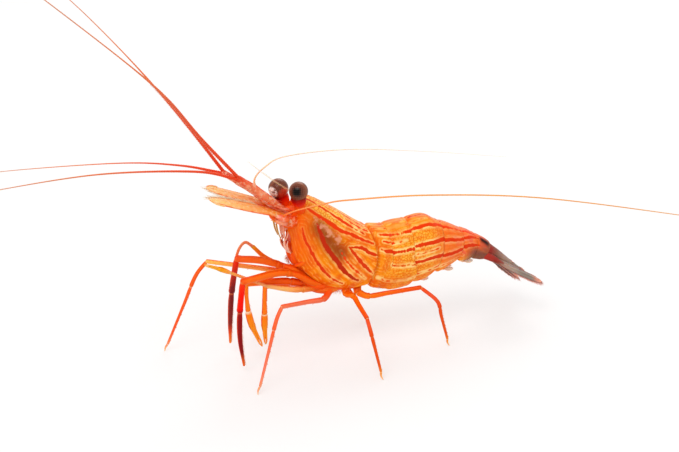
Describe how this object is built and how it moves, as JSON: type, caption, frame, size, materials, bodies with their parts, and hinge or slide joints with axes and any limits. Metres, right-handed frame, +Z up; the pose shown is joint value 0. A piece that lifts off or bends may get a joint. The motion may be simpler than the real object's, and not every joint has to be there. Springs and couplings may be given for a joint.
{
  "type": "peppermint cleaner shrimp",
  "caption": "Standing peppermint cleaner shrimp with striped shell, long feelers, slim pincers and a folded tail fan, as a still life-size museum model.",
  "frame": {"origin": "on the floor under the middle of the whole outline, feelers included", "axes": "+Z up, the shrimp faces -X and its left side is -Y, so +X runs from its head to its tail"},
  "size_m": [0.1302, 0.068, 0.0754],
  "materials": {
    "shell": "translucent orange shell with red stripes, wet gloss",
    "tail_fan": "smoky translucent blades with red tips, wet gloss",
    "rostrum": "pale translucent shell, wet gloss",
    "eye": "dark polished cornea",
    "eyestalk": "red wet gloss",
    "head": "orange translucent shell, wet gloss",
    "antennule": "red translucent shell, wet gloss",
    "feeler": "ringed thread of shell, satin",
    "antenna_scale": "clear yellow blade with orange edges, wet gloss",
    "mouth_leg": "red to maroon shell, wet gloss",
    "claw_leg": "orange and yellow shell, wet gloss",
    "walking_leg": "red-orange shell, wet gloss",
    "swimmeret": "pale translucent blades, satin"
  },
  "bodies": {
    "root": {"carapace": "shell", "abdomen_1": "shell", "abdomen_2": "shell", "abdomen_3": "shell", "abdomen_4": "shell", "abdomen_5": "shell", "abdomen_6": "shell", "telson": "tail_fan", "tail_inner_L": "tail_fan", "tail_inner_R": "tail_fan", "tail_outer_L": "tail_fan", "tail_outer_R": "tail_fan", "rostrum": "rostrum", "eye_L": "eye", "eye_R": "eye", "eyestalk_L": "eyestalk", "eyestalk_R": "eyestalk", "head_front": "head", "mouthparts": "head", "antennule_L": "antennule", "antennule_R": "antennule", "feeler_outer_L": "feeler", "feeler_outer_R": "feeler", "feeler_inner_L": "feeler", "feeler_inner_R": "feeler", "antenna_L": "feeler", "antenna_R": "feeler", "antenna_scale_L": "antenna_scale", "antenna_scale_R": "antenna_scale", "maxilliped_L_upper": "mouth_leg", "maxilliped_L_lower": "mouth_leg", "maxilliped_R_upper": "mouth_leg", "maxilliped_R_lower": "mouth_leg", "leg1_L_upper": "claw_leg", "leg1_L_lower": "claw_leg", "leg1_R_upper": "claw_leg", "leg1_R_lower": "claw_leg", "leg2_L_upper": "claw_leg", "leg2_L_lower": "claw_leg", "leg2_R_upper": "claw_leg", "leg2_R_lower": "claw_leg", "leg3_L_upper": "walking_leg", "leg3_L_lower": "walking_leg", "leg3_R_upper": "walking_leg", "leg3_R_lower": "walking_leg", "leg4_L_upper": "walking_leg", "leg4_L_lower": "walking_leg", "leg4_R_upper": "walking_leg", "leg4_R_lower": "walking_leg", "leg5_L_upper": "walking_leg", "leg5_L_lower": "walking_leg", "leg5_R_upper": "walking_leg", "leg5_R_lower": "walking_leg", "swimmeret_1": "swimmeret", "swimmeret_2": "swimmeret", "swimmeret_3": "swimmeret", "swimmeret_4": "swimmeret", "swimmeret_5": "swimmeret"}
  },
  "joints": []
}
